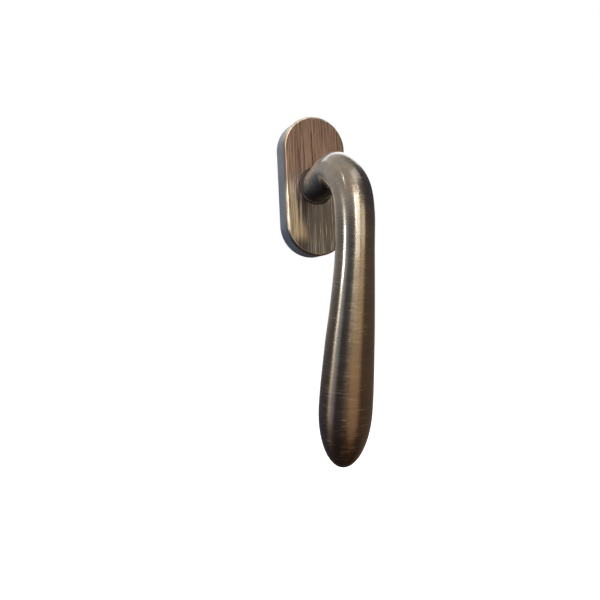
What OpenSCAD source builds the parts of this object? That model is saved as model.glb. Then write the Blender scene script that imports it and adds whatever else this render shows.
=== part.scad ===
// Tilt-and-turn window handle: a swan-neck lever on an oval rose.
// The origin is on the turning axis, on the plane where the rose meets the sash.
// +X is to the right, +Z is up, and the lever stands out towards -Y.
// Every sub-part is drawn lying down, with z out of the rose, and mounted() stands it up.

/* [Rose] */
// Width of the oval rose
rose_w = 32.5; // [32:0.5:36]
// Height of the oval rose
rose_h = 70; // [68:1:80]
// Thickness of the rose with its cap
rose_t = 11.2; // [11:0.1:12]
// Depth of the cap's rim, the rest of the thickness is the plinth
cap_rim = 2; // [1.8:0.1:2.4]
// Sheet thickness of the pressed cap
cap_sheet = 0.8; // [0.6:0.1:0.9]
// Edge rounding of the cap
cap_round = 1; // [0.6:0.1:1.2]

/* [Fixing] */
// Distance between the two fixing screws
screw_pitch = 43; // [43:0.5:44]
// Length of the fixing screws
screw_l = 34; // [30:1:40]
// Diameter of the locating bosses
boss_d = 10; // [9.6:0.1:10]
// How far the locating bosses stand behind the rose
boss_out = 2.5; // [2:0.1:3]

/* [Spindle] */
// Width across the flats of the square spindle
spindle_af = 7; // [6:0.5:7]
// How far the spindle stands behind the rose
spindle_out = 30; // [25:1:40]

/* [Lever] */
// Radius of the neck where it leaves the rose
neck_r = 8; // [7.9:0.1:8.2]
// Distance from the sash to the knuckle's outer side
lever_out = 63; // [60:1:70]
// Distance from the turning axis down to the tip
lever_down = 137; // [120:1:150]
// Sides of the lever's cross-section
lever_sides = 28; // [24:4:48]
// Rings between two of the lever's stations
lever_steps = 4; // [3:1:8]

/* [Hidden] */
$fn = 64;
eps = 0.1;

bronze = "#8a6a4a";
steel = "#b9bcc0";
spring_steel = "#8f959c";
grey_nylon = "#7d818a";
dark_nylon = "#2c2f31";
white_nylon = "#d9d8d2";

// Layers through the rose, from the sash outwards
plinth_t = rose_t - cap_rim;
island_step = 0.4;
island_t = plinth_t + island_step;
plate_z = 0.3;
plate_t = 1;
chamber_z = plate_z + plate_t;
hub_under = 0.15;
hub_z = chamber_z + hub_under;
hub_t = 2.5;
hub_over = 0.1;
journal_z = hub_z + hub_t + hub_over;
groove_up = 0.9;
groove_z = journal_z + groove_up;
groove_t = 1.05;
ring_gap = 0.02;
ring_z = groove_z + ring_gap;
ring_t = 1;
web_z = 7;
washer_t = 0.5;
bush_proud = 0.2;
bush_z = rose_t + bush_proud;
neck_gap = 0.2;
neck_z = bush_z + neck_gap;

// Radii about the turning axis
journal_r = 7.5;
groove_r = 7.15;
running_gap = 0.03;
bush_bore_r = journal_r + running_gap;
bush_r = 8.5;
bush_flange_r = 8.95;
cap_hole_gap = 0.1;
cap_hole_r = bush_flange_r + cap_hole_gap;
chamber_r = 11.2;

// Edges of the plinth and of the island that the cap sits round
plinth_round = 0.3;
island_margin = 1.2;

// Mechanism
hub_af = 17.2;
hub_corner_r = 10.6;
hub_fit = 0.03;
spring_t = 0.5;
spring_gap = 0.02;
spring_edge = 0.1;
spring_flat_y = 7;
spring_end_y = 12.4;
spring_bow = 2.6;
spring_taper = 0.2;
pocket_x = 12.3;
pocket_y = 13.2;
pocket_over = 0.4;
plate_gap = 0.1;
plate_w = 27.5;
plate_h = 31;
plate_corner = 4;
plate_hole_r = 6;
rivet_x = 5.5;
rivet_y = 13.2;
rivet_r = 1.2;
rivet_head_r = 2;
rivet_head_z = 0.05;
rivet_end_z = 5;
pin_r = 1.25;
pin_z = 8.7;
pin_wall = 0.5;
pin_slot = 0.4;
pin_short = 0.2;
socket_gap = 0.05;
socket_z = 24;
spindle_in = 23;
spindle_chamfer = 0.8;

// Retaining ring, with two eared ends that pliers open
ring_w = 1.7;
ring_shift = 0.5;
ring_slot = 1.8;
ring_open = 12;
ear_r = 1.5;
ear_x = 2.1;
ear_hole_r = 0.7;
ear_hole_x = 2.3;

// Washers in the chamber
thrust_gap = 0.08;
thrust_margin = 0.4;
wave_t = 0.25;
wave_play = 0.04;
wave_gap = 0.25;
wave_margin = 1;
wave_count = 3;
wave_steps = 72;

// Fixing screws and their sleeves
screw_y = screw_pitch / 2;
screw_r = 2.5;
shank_r = 2.24;
head_r = 4.5;
head_fit = 0.02;
head_rise = 0.1;
head_z = plinth_t + head_rise;
tip_taper_l = 1;
tip_taper_r = 0.9;
thread_start = 0.2;
recess_l = 4.6;
recess_w = 0.9;
recess_deep = 2;
sleeve_bore_r = 2.7;
sleeve_r = 5.5;
sleeve_flange_r = 6.3;
sleeve_flange_t = 1;
sleeve_flange_z = plinth_t - sleeve_flange_t;
head_rim = 0.01;

// Cap, its liner and its clips
shadow_gap = 0.1;
liner_t = 0.7;
liner_rim = 4;
liner_margin = 1.1;
liner_gap = 0.1;
liner_z = rose_t - cap_sheet - liner_t;
clip_y = 30.6;
clip_w = 6;
clip_t = 0.4;
clip_foot_z = 6.4;
clip_knee = 1.1;
clip_knee_out = 1.2;
clip_knee_z = clip_foot_z + 1;
clip_in_z = clip_foot_z + 1.6;
clip_out_z = clip_foot_z + 1.9;
clip_toe = 0.2;
clip_toe_drop = 0.1;
clip_slot_w = 8;
clip_slot_near = 29.6;
clip_slot_far = 31.8;
clip_slot_z = 6;
clip_notch = 0.5;
clip_notch_up = 0.2;
clip_notch_h = 1.6;

// The lever's stations along its centre line: how far out, how far up,
// half the width across, and half the thickness in the plane of the bend
drawn_out = 63;
drawn_down = 137;
out_k = lever_out / drawn_out;
down_k = lever_down / drawn_down;
stations = [
    [neck_z, 0, neck_r, neck_r],
    [20 * out_k, 1, 8.4, 8.4],
    [35 * out_k, 3, 8.8, 8.8],
    [49 * out_k, -5.3, 9, 9],
    [54 * out_k, -16.7, 9, 8.75],
    [52.4 * out_k, -36.4 * down_k, 8.9, 8.5],
    [47.2 * out_k, -60.2 * down_k, 10.3, 9.2],
    [41.4 * out_k, -81 * down_k, 11.8, 10.3],
    [34.1 * out_k, -109 * down_k, 13, 11]
];
tip = [27.9 * out_k, -lever_down];
tip_rings = 10;
neck_root = 1;

// ---- helpers ----

// Turns a sub-part from lying, z out of the rose, to its place on the sash
module mounted() {
    rotate([90, 0, 0]) children();
}

// An oval with two straight sides and two half-round ends
module oval(w, h) {
    for (s = [-1, 1]) translate([0, s * (h - w) / 2]) circle(d = w);
    square([w, h - w], center = true);
}

module rounded_square(w, h, r) {
    square([w, h - 2 * r], center = true);
    square([w - 2 * r, h], center = true);
    for (x = [-1, 1], y = [-1, 1]) translate([x * (w / 2 - r), y * (h / 2 - r)]) circle(r);
}

// A slab between two heights with an oval, round or other outline
module slab(z0, z1) {
    translate([0, 0, z0]) linear_extrude(z1 - z0) children();
}

module ring(z0, z1, inner_r, outer_r) {
    slab(z0, z1) difference() {
        circle(outer_r);
        circle(inner_r);
    }
}

// Half of an oval slab's cross-section, with its front edge rounded
module rounded_section(half_w, t, r) {
    square([half_w - r, t]);
    square([half_w, t - r]);
    translate([half_w - r, t - r]) intersection() {
        circle(r);
        square(r);
    }
}

// An oval slab with a rounded front edge, from z = 0 to z = t
module rounded_oval(w, h, t, r) {
    run = h - w;
    for (s = [-1, 1]) translate([0, s * run / 2, 0])
        rotate_extrude() rounded_section(w / 2, t, r);
    for (s = [0, 1]) mirror([s, 0, 0])
        translate([0, run / 2, 0]) rotate([90, 0, 0])
            linear_extrude(run) rounded_section(w / 2, t, r);
}

module at_screws() {
    for (s = [-1, 1]) translate([0, s * screw_y, 0]) children();
}

module square_bar(af, z0, z1) {
    translate([-af / 2, -af / 2, z0]) cube([af, af, z1 - z0]);
}

// ---- lever ----

function catmull(a, b, c, d, t) =
    0.5 * (2 * b + (c - a) * t + (2 * a - 5 * b + 4 * c - d) * t * t
           + (3 * b - a - 3 * c + d) * t * t * t);

// The stations with one more at each end, which set the curve's end directions
last = len(stations) - 1;
before_first = [2 * stations[0][0] - stations[1][0], 2 * stations[0][1] - stations[1][1],
                neck_r, neck_r];
after_last = [tip[0], tip[1], stations[last - 1][2], stations[last - 1][3]];
path = concat([before_first], stations, [after_last]);

swept = [for (i = [1 : last], k = [0 : lever_steps - 1])
    catmull(path[i - 1], path[i], path[i + 1], path[i + 2], k / lever_steps)];

// The rounded end is half an ellipsoid from the last station to the tip
function tip_ring(a) = [
    stations[last][0] + (tip[0] - stations[last][0]) * sin(a),
    stations[last][1] + (tip[1] - stations[last][1]) * sin(a),
    stations[last][2] * cos(a),
    stations[last][3] * cos(a)
];
tip_part = [for (k = [0 : tip_rings - 1]) tip_ring(90 * k / tip_rings)];
rings = concat(swept, tip_part);

// Direction of the centre line at ring i. The first ring lies square to the turning axis
function heading(i) =
    i == 0 ? [1, 0]
    : let (a = rings[i - 1], b = i < len(rings) - 1 ? rings[i + 1] : tip,
           d = [b[0] - a[0], b[1] - a[1]]) d / norm(d);

function ring_points(i) =
    let (c = rings[i], h = heading(i))
    [for (s = [0 : lever_sides - 1])
        let (q = 360 * s / lever_sides, across = c[2] * cos(q), through = c[3] * sin(q))
        [across, c[1] + h[0] * through, c[0] - h[1] * through]];

module lever_body() {
    n = lever_sides;
    count = len(rings);
    points = concat([for (i = [0 : count - 1]) each ring_points(i)], [[0, tip[1], tip[0]]]);
    side = [for (i = [0 : count - 2], s = [0 : n - 1], half = [0, 1])
        let (a = i * n + s, b = i * n + (s + 1) % n)
        half == 0 ? [a, a + n, b + n] : [a, b + n, b]];
    base = [[for (s = [0 : n - 1]) s]];
    point = [for (s = [0 : n - 1]) [(count - 1) * n + s, count * n, (count - 1) * n + (s + 1) % n]];
    polyhedron(points = points, faces = concat(base, side, point));
}

module lever() {
    color(bronze) mounted() difference() {
        union() {
            lever_body();
            slab(journal_z, neck_z + neck_root) circle(journal_r);
        }
        ring(groove_z, groove_z + groove_t, groove_r, journal_r + 1);
        square_bar(spindle_af + 2 * socket_gap, journal_z - eps, socket_z);
        translate([-neck_r, 0, pin_z]) rotate([0, 90, 0]) cylinder(r = pin_r, h = 2 * neck_r);
    }
}

// ---- turning parts inside the rose ----

module spindle() {
    color(steel) mounted() difference() {
        intersection() {
            square_bar(spindle_af, -spindle_out, spindle_in);
            rotate([0, 0, 45]) square_bar(spindle_af * sqrt(2) - spindle_chamfer, -spindle_out, spindle_in);
        }
        translate([-spindle_af, 0, pin_z]) rotate([0, 90, 0]) cylinder(r = pin_r, h = 2 * spindle_af);
    }
}

module spindle_pin() {
    color(spring_steel) mounted()
        translate([-journal_r + pin_short, 0, pin_z]) rotate([0, 90, 0])
            linear_extrude(2 * (journal_r - pin_short)) difference() {
                circle(pin_r);
                circle(pin_r - pin_wall);
                translate([0, -pin_slot / 2]) square([2 * pin_r, pin_slot]);
            }
}

module drive_hub() {
    color(steel) mounted() slab(hub_z, hub_z + hub_t) difference() {
        intersection() {
            square(hub_af, center = true);
            circle(hub_corner_r);
        }
        square(spindle_af + 2 * hub_fit, center = true);
    }
}

module retaining_ring() {
    ear_y = groove_r + ring_w;
    color(spring_steel) mounted() slab(ring_z, ring_z + ring_t) difference() {
        union() {
            translate([0, -ring_shift]) circle(groove_r + ring_w);
            for (s = [-1, 1]) translate([s * ear_x, ear_y]) circle(ear_r);
        }
        circle(groove_r);
        translate([-ring_slot / 2, 0]) square([ring_slot, ring_open]);
        for (s = [-1, 1]) translate([s * ear_hole_x, ear_y]) circle(ear_hole_r);
    }
}

// ---- rose ----

module base_housing() {
    color(grey_nylon) mounted() difference() {
        union() {
            rounded_oval(rose_w, rose_h, plinth_t, plinth_round);
            slab(0, island_t) oval(rose_w - 2 * island_margin, rose_h - 2 * island_margin);
        }
        slab(-eps, chamber_z)
            rounded_square(plate_w + 2 * plate_gap, plate_h + 2 * plate_gap, plate_corner + plate_gap);
        slab(chamber_z - eps, web_z) circle(chamber_r);
        for (s = [-1, 1]) slab(chamber_z - eps, hub_z + hub_t + pocket_over)
            translate([s * pocket_x / 2, 0]) square([pocket_x, 2 * pocket_y], center = true);
        slab(web_z - eps, island_t + eps) circle(bush_r);
        at_screws() slab(-eps, island_t + eps) circle(sleeve_r);
        at_screws() slab(sleeve_flange_z, island_t + eps) circle(sleeve_flange_r);
        for (x = [-1, 1], y = [-1, 1]) translate([x * rivet_x, y * rivet_y, 0])
            slab(0, rivet_end_z) circle(rivet_r);
        for (s = [0, 1]) mirror([0, s, 0]) clip_slot();
    }
}

// The slot that a clip's leg goes down, with the notch that its bend rests in
module clip_slot() {
    translate([-clip_slot_w / 2, clip_slot_near, clip_slot_z])
        cube([clip_slot_w, clip_slot_far - clip_slot_near, island_t]);
    translate([-clip_slot_w / 2, clip_slot_far - eps, clip_foot_z + clip_notch_up])
        cube([clip_slot_w, clip_notch + eps, clip_notch_h]);
}

module guide_bush() {
    color(dark_nylon) mounted() {
        ring(web_z, island_t + eps, bush_bore_r, bush_r);
        ring(island_t, bush_z, bush_bore_r, bush_flange_r);
    }
}

module boss_sleeve() {
    difference() {
        union() {
            slab(-boss_out, 0) circle(boss_d / 2);
            slab(0, sleeve_flange_z + eps) circle(sleeve_r);
            slab(sleeve_flange_z, island_t) circle(sleeve_flange_r);
        }
        slab(-boss_out - eps, island_t + eps) circle(sleeve_bore_r);
        translate([0, 0, head_z - head_r]) cylinder(r1 = 0, r2 = head_r, h = head_r);
        slab(head_z - head_rim, island_t + eps) circle(head_r);
    }
}

module boss_sleeve_top() {
    color(steel) mounted() translate([0, screw_y, 0]) boss_sleeve();
}

module boss_sleeve_bottom() {
    color(steel) mounted() translate([0, -screw_y, 0]) boss_sleeve();
}

module fixing_screws() {
    tip_z = head_z - screw_l;
    thread_z = -boss_out - thread_start;
    color(steel) mounted() at_screws() difference() {
        union() {
            translate([0, 0, head_z - head_r]) intersection() {
                cylinder(r1 = 0, r2 = head_r, h = head_r);
                slab(0, head_r) circle(head_r - head_fit);
            }
            slab(thread_z, head_z - shank_r) circle(shank_r);
            slab(tip_z + tip_taper_l, thread_z) circle(screw_r);
            translate([0, 0, tip_z])
                cylinder(r1 = screw_r - tip_taper_r, r2 = screw_r, h = tip_taper_l);
        }
        for (q = [0, 90]) rotate([0, 0, q])
            translate([-recess_l / 2, -recess_w / 2, head_z - recess_deep])
                cube([recess_l, recess_w, recess_deep + eps]);
    }
}

module back_plate() {
    color(steel) mounted() slab(plate_z, plate_z + plate_t) difference() {
        rounded_square(plate_w, plate_h, plate_corner);
        circle(plate_hole_r);
        for (x = [-1, 1], y = [-1, 1]) translate([x * rivet_x, y * rivet_y]) circle(rivet_r);
    }
}

module plate_rivets() {
    color(steel) mounted() for (x = [-1, 1], y = [-1, 1])
        translate([x * rivet_x, y * rivet_y, 0]) {
            slab(rivet_head_z, rivet_end_z) circle(rivet_r);
            slab(rivet_head_z, plate_z) circle(rivet_head_r);
        }
}

// A bowed strip whose flat middle lies on the hub and whose ends rest in the pocket
module leaf_spring() {
    near = hub_af / 2 + spring_gap;
    bowed = near + spring_bow;
    outer_flat_y = spring_flat_y - spring_taper;
    outer_end_y = spring_end_y - spring_taper;
    slab(hub_z + spring_edge, hub_z + hub_t - spring_edge) polygon([
        [near, -spring_flat_y], [near, spring_flat_y],
        [bowed, spring_end_y], [bowed + spring_t, outer_end_y],
        [near + spring_t, outer_flat_y], [near + spring_t, -outer_flat_y],
        [bowed + spring_t, -outer_end_y], [bowed, -spring_end_y]
    ]);
}

module leaf_spring_left() {
    color(spring_steel) mounted() mirror([1, 0, 0]) leaf_spring();
}

module leaf_spring_right() {
    color(spring_steel) mounted() leaf_spring();
}

module thrust_washer() {
    color(white_nylon) mounted()
        ring(web_z - washer_t, web_z, journal_r + thrust_gap, chamber_r - thrust_margin);
}

// A thin ring pressed in three waves
module wave_washer() {
    n = wave_steps;
    low = ring_z + ring_t;
    high = web_z - washer_t;
    t = wave_t;
    swing = (high - low - t - wave_play) / 2;
    inner = journal_r + wave_gap;
    outer = chamber_r - wave_margin;
    mid = (low + high) / 2;
    points = [for (i = [0 : n - 1], c = [0 : 3])
        let (q = 360 * i / n, r = c < 2 ? inner : outer, z = mid + swing * cos(wave_count * q))
        [r * cos(q), r * sin(q), z + (c % 2 == 0 ? -t / 2 : t / 2)]];
    faces = [for (i = [0 : n - 1], f = [[0, 1], [1, 3], [3, 2], [2, 0]], half = [0, 1])
        let (a = 4 * i, b = 4 * ((i + 1) % n))
        half == 0 ? [a + f[0], a + f[1], b + f[1]] : [a + f[0], b + f[1], b + f[0]]];
    color(spring_steel) mounted() polyhedron(points = points, faces = faces);
}

// ---- cap ----

module rose_cover() {
    inner = 2 * (cap_sheet + liner_gap);
    color(bronze) mounted() difference() {
        translate([0, 0, plinth_t + shadow_gap])
            rounded_oval(rose_w, rose_h, cap_rim - shadow_gap, cap_round);
        slab(plinth_t, rose_t - cap_sheet) oval(rose_w - inner, rose_h - inner);
        slab(plinth_t, rose_t + eps) circle(cap_hole_r);
    }
}

module cover_frame() {
    w = rose_w - 2 * liner_margin;
    h = rose_h - 2 * liner_margin;
    color(white_nylon) mounted()
        slab(liner_z, rose_t - cap_sheet) difference() {
            oval(w, h);
            oval(w - 2 * liner_rim, h - 2 * liner_rim);
        }
}

// A strip that hangs from the liner and bends out into the notch
module cover_clip() {
    outer_y = clip_y + clip_t;
    translate([-clip_w / 2, 0, 0]) rotate([90, 0, 90]) linear_extrude(clip_w) polygon([
        [clip_y, liner_z], [clip_y, clip_in_z],
        [clip_y + clip_knee, clip_knee_z], [clip_y + clip_toe, clip_foot_z],
        [outer_y + clip_toe, clip_foot_z - clip_toe_drop],
        [outer_y + clip_knee_out, clip_knee_z], [outer_y, clip_out_z], [outer_y, liner_z]
    ]);
}

module cover_clip_top() {
    color(spring_steel) mounted() cover_clip();
}

module cover_clip_bottom() {
    color(spring_steel) mounted() mirror([0, 1, 0]) cover_clip();
}

lever();
rose_cover();
cover_frame();
cover_clip_top();
cover_clip_bottom();
base_housing();
guide_bush();
boss_sleeve_top();
boss_sleeve_bottom();
back_plate();
plate_rivets();
drive_hub();
leaf_spring_left();
leaf_spring_right();
wave_washer();
thrust_washer();
retaining_ring();
spindle();
spindle_pin();
fixing_screws();
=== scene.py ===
# %% [markdown]
# # A tilt-and-turn window handle, finished in Blender
# The handle has an oval rose, which is a grey nylon plinth under a thin pressed bronze cap,
# and a swan-neck lever with a tear-drop grip. The exact parts were drawn first.
# This lesson loads them as a fixed frame and gives each one its shape and finish:
# what is seen from the room first, and then what only the fitter sees.

# %% Load the imported model
import math

import bmesh
import bpy
from mathutils import Matrix, Vector


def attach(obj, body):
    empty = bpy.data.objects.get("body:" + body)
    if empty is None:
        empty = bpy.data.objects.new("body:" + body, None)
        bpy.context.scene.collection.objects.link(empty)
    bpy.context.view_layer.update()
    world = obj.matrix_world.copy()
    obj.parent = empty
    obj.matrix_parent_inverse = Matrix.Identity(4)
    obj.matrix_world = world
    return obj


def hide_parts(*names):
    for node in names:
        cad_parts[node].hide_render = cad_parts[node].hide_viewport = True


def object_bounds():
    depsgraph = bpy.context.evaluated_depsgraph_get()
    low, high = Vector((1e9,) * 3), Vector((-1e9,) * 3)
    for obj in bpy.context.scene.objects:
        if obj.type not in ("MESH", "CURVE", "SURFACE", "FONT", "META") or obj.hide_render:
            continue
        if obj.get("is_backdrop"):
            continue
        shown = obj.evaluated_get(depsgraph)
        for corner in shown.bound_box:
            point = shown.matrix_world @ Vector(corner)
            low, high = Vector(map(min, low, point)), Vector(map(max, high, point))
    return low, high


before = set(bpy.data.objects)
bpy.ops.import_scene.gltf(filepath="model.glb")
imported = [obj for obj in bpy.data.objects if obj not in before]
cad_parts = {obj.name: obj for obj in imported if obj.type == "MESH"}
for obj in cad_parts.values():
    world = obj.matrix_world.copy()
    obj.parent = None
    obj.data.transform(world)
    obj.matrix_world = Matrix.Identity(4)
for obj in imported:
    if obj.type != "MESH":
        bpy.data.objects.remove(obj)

MM = 0.001
cad_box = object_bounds()

# %% [markdown]
# ## Places on the rose
# The handle is measured as a fitter measures it: to the right of the turning axis, up the
# sash, and out of the sash towards the room. In Blender, right is +X, up is +Z and out is -Y.
# Writing every place in those words keeps the numbers the same as on the drawing.

# %% Places in the fitter's words
def on_rose(right, up, out):
    """A place in millimetres right, up and out, as a point in metres."""
    return Vector((right, -out, up)) * MM


TOWARDS_ROOM = (math.pi / 2, 0, 0)
print("lever tip:", on_rose(0, -137, 27.9))

# %% [markdown]
# ## Working by hand, in code
# Every operator acts on what is selected, so each step first says what that is. These
# helpers pick one piece, open it for editing, and pick vertices, edges or faces by their
# place. The next ones name a new piece, finish it with a modifier, and shade it smooth.

# %% Pick a piece, and pick parts of it
def take_up(piece=None):
    """Leave edit mode and select only this piece, or nothing."""
    if bpy.context.object and bpy.context.object.mode != "OBJECT":
        bpy.ops.object.mode_set(mode="OBJECT")
    bpy.ops.object.select_all(action="DESELECT")
    if piece:
        piece.select_set(True)
        bpy.context.view_layer.objects.active = piece


def open_up(piece, kind="VERT"):
    """Open a piece in edit mode with nothing selected."""
    take_up(piece)
    bpy.ops.object.mode_set(mode="EDIT")
    bpy.ops.mesh.select_mode(type=kind)
    bpy.ops.mesh.select_all(action="DESELECT")


def pick(piece, wanted, kind="VERT"):
    """Select just the vertices, edges or faces that wanted() agrees to."""
    bpy.ops.mesh.select_mode(type=kind)
    bpy.ops.mesh.select_all(action="DESELECT")
    shape = bmesh.from_edit_mesh(piece.data)
    parts = {"VERT": shape.verts, "EDGE": shape.edges, "FACE": shape.faces}[kind]
    chosen = [part for part in parts if wanted(part)]
    for part in chosen:
        part.select_set(True)
    shape.select_flush_mode()
    bmesh.update_edit_mesh(piece.data)
    return len(chosen)


take_up()

# %% Name a new piece, and fix its place in its mesh
def start_piece(name):
    """Name the primitive that was just added, and put its place into its mesh."""
    piece = bpy.context.object
    piece.name = name
    piece.data.name = name
    bpy.ops.object.transform_apply(location=True, rotation=True, scale=True)
    return piece


def finish_with(piece, kind, **settings):
    """Add one modifier, set it, and apply it."""
    take_up(piece)
    modifier = piece.modifiers.new(kind.lower(), kind)
    for key, value in settings.items():
        setattr(modifier, key, value)
    bpy.ops.object.modifier_apply(modifier=modifier.name)


def smooth(piece, sharpest=35):
    """Shade smooth, but keep edges sharper than this many degrees crisp."""
    take_up(piece)
    bpy.ops.object.shade_smooth_by_angle(angle=math.radians(sharpest))
    faces = sum(len(face.vertices) - 2 for face in piece.data.polygons)
    print(piece.name, "has", faces, "triangles")


# A bevel of two steps first turns 22.5 degrees, so with this limit flat faces stay flat.
FLAT_STAYS_FLAT = 20

# %% [markdown]
# ## Camera
# The handle is seen from below its middle and from its left, close enough for the lever to
# look much larger than the rose. A 42 mm lens at about 36 cm gives that. The camera rolls
# slightly, because the handle leans in the view.

# %% Place the camera
CAMERA_PLACE = (-0.133431, -0.334301, -0.061876)
CAMERA_YAW, CAMERA_PITCH, CAMERA_ROLL = 0.36049, 0.01504, -0.04665

lens = bpy.data.cameras.new("camera")
lens.lens, lens.sensor_width, lens.clip_start = 42, 36, 0.01
camera = bpy.data.objects.new("camera", lens)
bpy.context.scene.collection.objects.link(camera)
ahead = Vector((math.sin(CAMERA_YAW) * math.cos(CAMERA_PITCH),
                math.cos(CAMERA_YAW) * math.cos(CAMERA_PITCH), math.sin(CAMERA_PITCH)))
level = Vector((math.cos(CAMERA_YAW), -math.sin(CAMERA_YAW), 0))
above = level.cross(ahead)
side = math.cos(CAMERA_ROLL) * level + math.sin(CAMERA_ROLL) * above
top = -math.sin(CAMERA_ROLL) * level + math.cos(CAMERA_ROLL) * above
turn = Matrix((side, top, -ahead)).transposed().to_4x4()
camera.matrix_world = Matrix.Translation(CAMERA_PLACE) @ turn
bpy.context.scene.camera = camera
bpy.context.scene.view_settings.view_transform = "Standard"
print("camera at", CAMERA_PLACE)

# %% [markdown]
# ## Floor and light
# Polished metal shows its surroundings more than its own colour, so the light is built as a
# small studio: one tall bright window in front, a narrow strip on the left, and a dim room
# that is lighter above and on the left than below and on the right. Each panel is named for
# what it would be in a real room. The pale floor isn't seen in the metal's reflections.

# %% Floor
FLOOR_Z, FLOOR_RADIUS = -0.30, 4
bpy.ops.mesh.primitive_circle_add(vertices=96, radius=FLOOR_RADIUS, fill_type="NGON",
                                  location=(0, 0, FLOOR_Z))
floor = start_piece("floor")
floor.visible_glossy = False
floor.visible_diffuse = False
floor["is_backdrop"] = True
print("floor at", FLOOR_Z, "m")

# %% Light panels
HANDLE_MIDDLE = on_rose(0, -45, 40)
PANEL_FAR = 1.2


def way_to(azimuth, elevation):
    """The direction from the handle, in degrees right of the front and above level."""
    a, e = math.radians(azimuth), math.radians(elevation)
    return Vector((math.sin(a) * math.cos(e), -math.cos(a) * math.cos(e), math.sin(e)))


def panel(name, azimuth, elevation, size, strength, colour=(1, 1, 1), lean=0):
    """A soft light that faces the handle, PANEL_FAR away and leaning by some degrees."""
    way = way_to(azimuth, elevation)
    light = bpy.data.lights.new(name, "AREA")
    light.shape = "RECTANGLE"
    light.size, light.size_y = size
    light.energy = strength * math.pi * size[0] * size[1]
    light.color = colour
    lamp = bpy.data.objects.new(name, light)
    bpy.context.scene.collection.objects.link(lamp)
    lamp.location = HANDLE_MIDDLE + way * PANEL_FAR
    facing = way.to_track_quat("Z", "Y").to_matrix()
    lamp.rotation_euler = (facing @ Matrix.Rotation(math.radians(lean), 3, "Z")).to_euler()
    lamp.visible_camera = False
    return lamp


panel("window", -5, 9, (0.50, 0.95), 2.6, (1.0, 0.99, 0.96))
panel("window_edge", -16.5, 12, (0.035, 0.70), 26.0)
panel("window_head", 4, 29, (0.46, 0.030), 14.0, lean=28)
panel("window_glow", 23, 2, (0.46, 0.50), 1.6, (1.0, 0.92, 0.72))
panel("left_strip", -83, -3, (0.20, 0.15), 22.0, (0.82, 0.91, 1.0))
panel("ceiling_pane", -79, 50, (0.05, 0.18), 14.0)
panel("ceiling", 40, 66, (0.8, 0.5), 1.0)
panel("behind", 165, 30, (1.3, 0.9), 1.6)

# %% [markdown]
# Finishes and the room are both made of shader nodes. A few short helpers add a node, link
# it, and give back its output, so that a node tree reads like a sum.

# %% Nodes, in few words
def add(tree, kind, inputs=None, **settings):
    """Add a shader node, set it, and fill or link its inputs."""
    node = tree.nodes.new("ShaderNode" + kind)
    for key, value in settings.items():
        setattr(node, key, value)
    for key, value in (inputs or {}).items():
        if isinstance(value, bpy.types.NodeSocket):
            tree.links.new(value, node.inputs[key])
        else:
            node.inputs[key].default_value = value
    return node


def rgb(red, green, blue):
    """A colour as a paint chart gives it, 0 to 255, made linear for the shader."""
    def linear(c):
        c /= 255
        return c / 12.92 if c <= 0.04045 else ((c + 0.055) / 1.055) ** 2.4
    return (linear(red), linear(green), linear(blue), 1)


def blend_colours(tree, amount, low, high, kind="MIX"):
    """Mix two colours by an amount."""
    mix = add(tree, "Mix", {0: amount, 6: low, 7: high}, data_type="RGBA", blend_type=kind)
    return mix.outputs[2]


def ramp(tree, value, start, end, low=0.0, high=1.0):
    """Carry a value smoothly from low to high as it goes from start to end."""
    node = add(tree, "MapRange", {"Value": value, "From Min": start, "From Max": end,
                                  "To Min": low, "To Max": high},
               interpolation_type="SMOOTHSTEP")
    return node.outputs["Result"]


def times(tree, a, b):
    return add(tree, "Math", {0: a, 1: b}, operation="MULTIPLY").outputs[0]


def plus(tree, a, b):
    return add(tree, "Math", {0: a, 1: b}, operation="ADD").outputs[0]


print("half grey, made linear:", round(rgb(128, 128, 128)[0], 3))

# %% [markdown]
# The room is a colour for each direction, which only the metal sees. A panorama of a real room
# would do as well, but a few blended colours can be set streak by streak.

# %% The dim room round the handle
ROOM_DARK = (0.030, 0.026, 0.026, 1)
ROOM_HIGH_LEFT = (0.52, 0.50, 0.50, 1)
ROOM_HIGH_RIGHT = (0.08, 0.08, 0.10, 1)
ROOM_LOW_LEFT = (0.055, 0.075, 0.12, 1)
ROOM_LOW_RIGHT = (0.16, 0.13, 0.10, 1)
# Azimuth, elevation, spread and colour: light from the sill and from beside the left strip
SOFT_GLOWS = [(17, -31, 26, (0.72, 0.57, 0.40, 1)), (-78, -15, 22, (0.60, 0.72, 0.92, 1))]
PALE = (1, 1, 1, 1)
# A direction is a vector of length 1. These are its heights, or its parts to the right, where
# the room starts and stops changing.
HORIZON, DEEP = (-0.08, 0.22), (-0.5, -0.9)
LEFT_ABOVE, LEFT_BELOW = (0.45, 0.0), (0.1, -0.3)


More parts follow.
